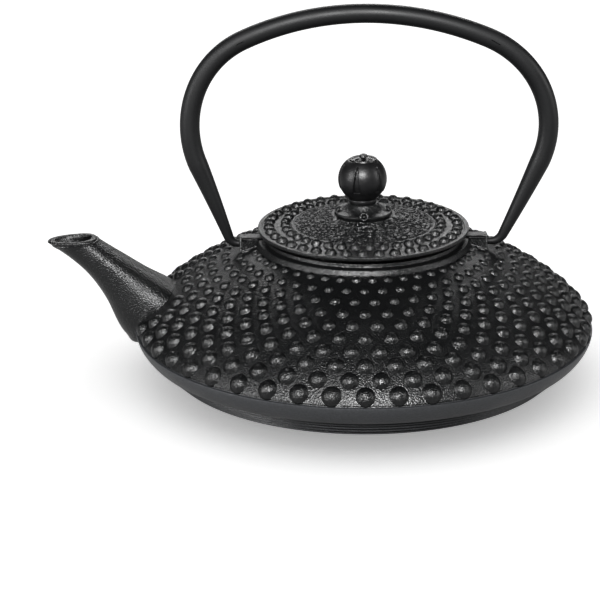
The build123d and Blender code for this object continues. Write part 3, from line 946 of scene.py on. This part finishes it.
# %% The washer and the nut
WASHER, WASHER_BASE, WASHER_TOP, WASHER_SIDES = 5.2, 66.0, 66.8, 96
NUT_FLATS, NUT_BASE, NUT_CONE, NUT_CONE_RISE, NUT_SIDES = 7.0, 62.8, 3.55, 0.6, 144
# (share of the cone's rise, height); the first and the last are the bore
NUT_OUTLINE = ((0, 0), (0.3, 0.0), (0.55, 0.3), (1, 0.6), (1, 2.6), (0.55, 2.9), (0.3, 3.2), (0, 3.2))

washer = make("knob_washer_turned", [skin(turned(rounded([
    (SHANK_HOLE, WASHER_BASE, 0.1),
    (WASHER, WASHER_BASE, 0.2),
    (WASHER, WASHER_TOP, 0.2),
    (SHANK_HOLE, WASHER_TOP, 0.1),
], loop=True), WASHER_SIDES), loop=True)])
nut_angles = around_axis(NUT_SIDES)
from_flat = (nut_angles + TURN / 12) % (TURN / 6) - TURN / 12
hexagon = NUT_FLATS / 2 / np.cos(from_flat)
nut_rings = []
for share, height in NUT_OUTLINE:
    reach = SHANK if share == 0 else np.minimum(hexagon, NUT_CONE + NUT_CONE_RISE * share)
    nut_rings.append(ring_of(reach, NUT_BASE + height, nut_angles))
nut = make("knob_nut_milled", [skin(nut_rings, loop=True)], sharp=20)
for obj, node in ((washer, "knob_washer"), (nut, "knob_nut")):
    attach(obj, "lid")
    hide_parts(node)
print("washer and nut:", len(washer.data.polygons) + len(nut.data.polygons), "faces")

# %% [markdown]
# Now the finishes. Each starts as a Principled shader, and a pattern is a texture that is read at a
# point's own place on the piece, in metres, so one over a size in metres gives a texture of that size.
# One function turns a hex colour, which is how a screen counts, into the linear numbers that light needs.
# Another adds a node with its settings and links.

# %% Helpers for the finishes
def colour(code):
    """Linear colour of an sRGB hex value."""
    shares = [int(code[i : i + 2], 16) / 255 for i in (1, 3, 5)]
    return (*[s / 12.92 if s <= 0.04045 else ((s + 0.055) / 1.055) ** 2.4 for s in shares], 1.0)


def add(tree, kind, settings=None, links=None):
    """Adds a node. A setting is one of its own values or an input's; a link is input: (node, output)."""
    node = tree.nodes.new("ShaderNode" + kind)
    for name, value in (settings or {}).items():
        if hasattr(node, name):
            setattr(node, name, value)
        else:
            node.inputs[name].default_value = value
    for name, (source, output) in (links or {}).items():
        tree.links.new(source.outputs[output], node.inputs[name])
    return node


def start_finish(name, code, roughness, metallic=0.0):
    """A new material with its Principled shader's plain values set, and the place on the piece."""
    material = bpy.data.materials.new(name)
    material.use_nodes = True
    shader = material.node_tree.nodes["Principled BSDF"]
    shader.inputs["Base Color"].default_value = colour(code)
    shader.inputs["Roughness"].default_value = roughness
    shader.inputs["Metallic"].default_value = metallic
    return material, material.node_tree, shader, add(material.node_tree, "TexCoord")


print("mid grey #808080 is", round(colour("#808080")[0], 3), "in linear light")

# %% [markdown]
# The pot is sand cast iron under a thin black enamel. The sand leaves a grain of about 0.3 mm, which the
# enamel rounds off: to the eye it is a dark satin skin full of small specks of light. The grain is drawn
# 0.6 mm wide, because finer grain would vanish. Enamel is glass, so it starts at an IOR of 1.5 and a
# roughness of 0.4, and comes to 1.45 and 0.34. Clouds about two centimetres wide vary the roughness, as
# where it pooled. The lid's light black is a little lighter than the pot's. On the band and the steps
# under it the skin is duller, and its colour is painted greyer there: a painted reflection of the white
# sheet below.

# %% Enamelled cast iron
GRAIN, GRAIN_DEPTH = 0.62, 0.3
CLOUD, DULLER, GLOSSIER = 22.0, 0.08, 0.06


def enamelled_iron(name, dark, light, roughness, grain=GRAIN, depth=GRAIN_DEPTH, ior=1.45):
    """Black enamel over a sand casting, with its grain, its clouds and its two close blacks."""
    material, tree, shader, place = start_finish(name, dark, roughness)
    shader.inputs["IOR"].default_value = ior
    on_piece = {"Vector": (place, "Object")}
    sand = add(tree, "TexNoise", {"Scale": 1 / (grain * MM), "Detail": 1.2, "Roughness": 0.5}, on_piece)
    cloud = add(tree, "TexNoise", {"Scale": 1 / (CLOUD * MM), "Detail": 4.0}, on_piece)
    bump = add(tree, "Bump", {"Strength": 1.0, "Distance": depth * MM}, {"Height": (sand, "Fac")})
    span = {"From Min": 0.3, "From Max": 0.7, "To Min": roughness - GLOSSIER, "To Max": roughness + DULLER}
    satin = add(tree, "MapRange", span, {"Value": (cloud, "Fac")})
    blacks = add(tree, "MixRGB", {"Color1": colour(dark), "Color2": colour(light)}, {"Fac": (sand, "Fac")})
    tree.links.new(blacks.outputs["Color"], shader.inputs["Base Color"])
    tree.links.new(satin.outputs["Result"], shader.inputs["Roughness"])
    tree.links.new(bump.outputs["Normal"], shader.inputs["Normal"])
    return material


pot_iron = enamelled_iron("enamelled_cast_iron_pot", "#050505", "#0f1011", 0.34)
lid_iron = enamelled_iron("enamelled_cast_iron_lid", "#050505", "#111213", 0.34)
# painted reflection: the band and the steps get a greyer colour that stands in for the white sheet's
# reflection
band_painted_reflection_iron = enamelled_iron("enamelled_cast_iron_band_painted_reflection", "#191a1b", "#323335", 0.44, depth=0.14)
for obj in (pot, hobnails):
    obj.data.materials.append(pot_iron)
pot.data.materials.append(band_painted_reflection_iron)
# the faces of the band and the steps take the greyer skin, a painted reflection of the sheet
for face in pot.data.polygons:
    radius = math.hypot(face.center.x, face.center.y)
    if face.center.z < base_high.z * MM and FOOT * MM < radius < (BAND_EDGE[0] + 0.1) * MM:
        face.material_index = 1
for obj in (lid, lid_hobnails):
    obj.data.materials.append(lid_iron)
print(sum(face.material_index for face in pot.data.polygons), "faces of the casting have the base's skin")

# %% [markdown]
# The bail is forged, not cast, so its black is smoother: a satin lacquer baked onto a filed bar. It keeps
# only a faint grain, drawn 0.7 mm wide, and one long soft highlight runs along it. The enamel's function
# makes it too. Lacquer starts at an IOR of 1.5, and comes to 1.38 where it is as dull as this.

# %% Lacquered iron bar
bar_lacquer = enamelled_iron(
    "lacquered_iron_bail", "#070708", "#0f1011", 0.52, grain=0.7, depth=0.03, ior=1.38
)
bail.data.materials.append(bar_lacquer)
print("the bail has", bar_lacquer.name)

# %% [markdown]
# The knob and the head of its pin are small castings, polished by hand and then lacquered a deep black.
# A lacquer film is a clear coat over the colour, so the shader's coat does it. This film is thin and has
# a low gloss, so the coat is light, and the IOR starts at 1.5 and comes to 1.38. Polishing by hand leaves
# shallow waves two millimetres wide. The seat below is left as it was cast, with the lid's enamel.

# %% Thin lacquer
WAVE, WAVE_DEPTH = 2.2, 0.12
LACQUER_IOR, COAT, COAT_ROUGHNESS = 1.38, 0.06, 0.25


def thin_lacquer(name, roughness):
    """Deep black lacquer over a polished casting."""
    material, tree, shader, place = start_finish(name, "#0a0a0b", roughness)
    shader.inputs["IOR"].default_value = LACQUER_IOR
    shader.inputs["Coat Weight"].default_value = COAT
    shader.inputs["Coat Roughness"].default_value = COAT_ROUGHNESS
    waves = add(tree, "TexNoise", {"Scale": 1 / (WAVE * MM), "Detail": 2.0}, {"Vector": (place, "Object")})
    bump = add(tree, "Bump", {"Strength": 1.0, "Distance": WAVE_DEPTH * MM}, {"Height": (waves, "Fac")})
    blacks = add(tree, "MixRGB", {"Color1": colour("#060607"), "Color2": colour("#141415")},
                 {"Fac": (waves, "Fac")})
    tree.links.new(blacks.outputs["Color"], shader.inputs["Base Color"])
    tree.links.new(bump.outputs["Normal"], shader.inputs["Normal"])
    return material


knob.data.materials.append(thin_lacquer("lacquered_knob", 0.44))
pin.data.materials.append(thin_lacquer("lacquered_pin", 0.4))
knob_seat.data.materials.append(lid_iron)
print("knob, pin and seat have", [obj.data.materials[0].name for obj in (knob, pin, knob_seat)])

# %% [markdown]
# The infuser, the washer and the nut are 18/8 stainless steel. Bare steel is a metal, so its colour is
# its reflection, and it keeps the default IOR. The pressed pieces were polished on a lathe, which leaves
# rings of fine scratches about 0.4 mm apart as drawn, and the wire is drawn smooth.

# %% Stainless steel
SCRATCH, SCRATCH_DEPTH = 0.4, 0.012


def stainless_steel(name, roughness, scratched):
    """Polished stainless steel, with a lathe's fine scratches if it is scratched."""
    material, tree, shader, place = start_finish(name, "#c8c6c2", roughness, metallic=1.0)
    stretched = add(tree, "Mapping", {"Scale": (0.05, 0.05, 1.0) if scratched else (1, 1, 1)},
                    {"Vector": (place, "Object")})
    fine = add(tree, "TexNoise", {"Scale": 1 / (SCRATCH * MM), "Detail": 3.0},
               {"Vector": (stretched, "Vector")})
    bump = add(tree, "Bump", {"Strength": 1.0, "Distance": SCRATCH_DEPTH * MM}, {"Height": (fine, "Fac")})
    tint = add(tree, "MixRGB", {"Color1": colour("#b9b7b3"), "Color2": colour("#d2d0cc")},
               {"Fac": (fine, "Fac")})
    tree.links.new(tint.outputs["Color"], shader.inputs["Base Color"])
    tree.links.new(bump.outputs["Normal"], shader.inputs["Normal"])
    return material


pressed_steel = stainless_steel("stainless_steel_pressed", 0.24, True)
drawn_wire = stainless_steel("stainless_steel_wire", 0.3, False)
for name, obj in pieces.items():
    obj.data.materials.append(drawn_wire if "woven" in name else pressed_steel)
for obj in (washer, nut):
    obj.data.materials.append(pressed_steel)
print(len(pieces) + 2, "pieces of stainless steel")

# %% [markdown]
# A black pot is lit by what it reflects. It stands on a white sheet, between two tall soft boxes, with a
# third over the camera and a fourth behind and above for the top of the bail and the lid. White enough
# for the sheet is too bright for the pot, so the two are lit apart with light linking: the soft boxes
# leave the sheet out, and one wide lamp overhead lights only the sheet and gives the pot its soft shadow.
# The sheet also glows a little, which stands in for the light that a room full of white would return.
# The world is a very dim white, and a view gamma below one deepens the blacks.

# %% Floor and lights
FLOOR_REACH = 4.0
SOFT_BOXES = {
    # name: (place, what it looks at, width, height, watts)
    "front": ((-0.08, -1.15, 0.85), (0, 0, 0.03), 0.6, 0.26, 62.0),
    "left": ((-1.05, -0.55, 0.42), (0, 0, 0.05), 0.3, 0.7, 20.0),
    "right": ((1.1, -0.25, 0.45), (0, 0, 0.05), 0.3, 0.7, 10.0),
    "back": ((0.0, 1.1, 0.7), (0, 0, 0.06), 1.2, 0.3, 12.0),
}
SHEET_LIGHT, SHEET_SPREAD, SHEET_GLOW = 2.05, 130.0, 0.44
SKY_STRENGTH = 0.06
CONTRAST = 0.76

sheet_mesh = bpy.data.meshes.new("floor")
corners = [(x * FLOOR_REACH, y * FLOOR_REACH, 0) for x, y in ((-1, -1), (1, -1), (1, 1), (-1, 1))]
sheet_mesh.from_pydata(corners, [], [(0, 1, 2, 3)])
floor = bpy.data.objects.new("floor", sheet_mesh)
bpy.context.scene.collection.objects.link(floor)
white_sheet, _, sheet_shader, _ = start_finish("white_sheet", "#fbfbfb", 0.9)
sheet_shader.inputs["Emission Color"].default_value = colour("#ffffff")
sheet_shader.inputs["Emission Strength"].default_value = SHEET_GLOW
floor.data.materials.append(white_sheet)
floor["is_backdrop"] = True

for name, (place, target, width, height, watts) in SOFT_BOXES.items():
    lamp = bpy.data.lights.new(name, "AREA")
    lamp.shape = "RECTANGLE"
    lamp.size, lamp.size_y, lamp.energy = width, height, watts
    box = bpy.data.objects.new(name, lamp)
    box.location = place
    box.rotation_euler = (Vector(target) - Vector(place)).to_track_quat("-Z", "Y").to_euler()
    bpy.context.scene.collection.objects.link(box)

overhead = bpy.data.objects.new("overhead", bpy.data.lights.new("overhead", "SUN"))
overhead.data.energy, overhead.data.angle = SHEET_LIGHT, math.radians(SHEET_SPREAD)
bpy.context.scene.collection.objects.link(overhead)
sheet_only = bpy.data.collections.new("sheet_only")
sheet_only.objects.link(floor)
overhead.light_linking.receiver_collection = sheet_only
all_but_sheet = bpy.data.collections.new("all_but_sheet")
all_but_sheet.objects.link(floor)
all_but_sheet.collection_objects[0].light_linking.link_state = "EXCLUDE"
for name in SOFT_BOXES:
    bpy.data.objects[name].light_linking.receiver_collection = all_but_sheet

world = bpy.data.worlds.new("soft_white")
world.use_nodes = True
sky = world.node_tree.nodes["Background"]
sky.inputs["Color"].default_value = colour("#ffffff")
sky.inputs["Strength"].default_value = SKY_STRENGTH
bpy.context.scene.world = world
bpy.context.scene.view_settings.view_transform = "Standard"
bpy.context.scene.view_settings.gamma = CONTRAST
print(len(SOFT_BOXES), "soft boxes")

# %% Sizes and finish
final_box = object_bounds()
for name, box in (("CAD", cad_box), ("visual", final_box)):
    print(name, "box in mm", [round(value / MM, 1) for corner in box for value in corner])
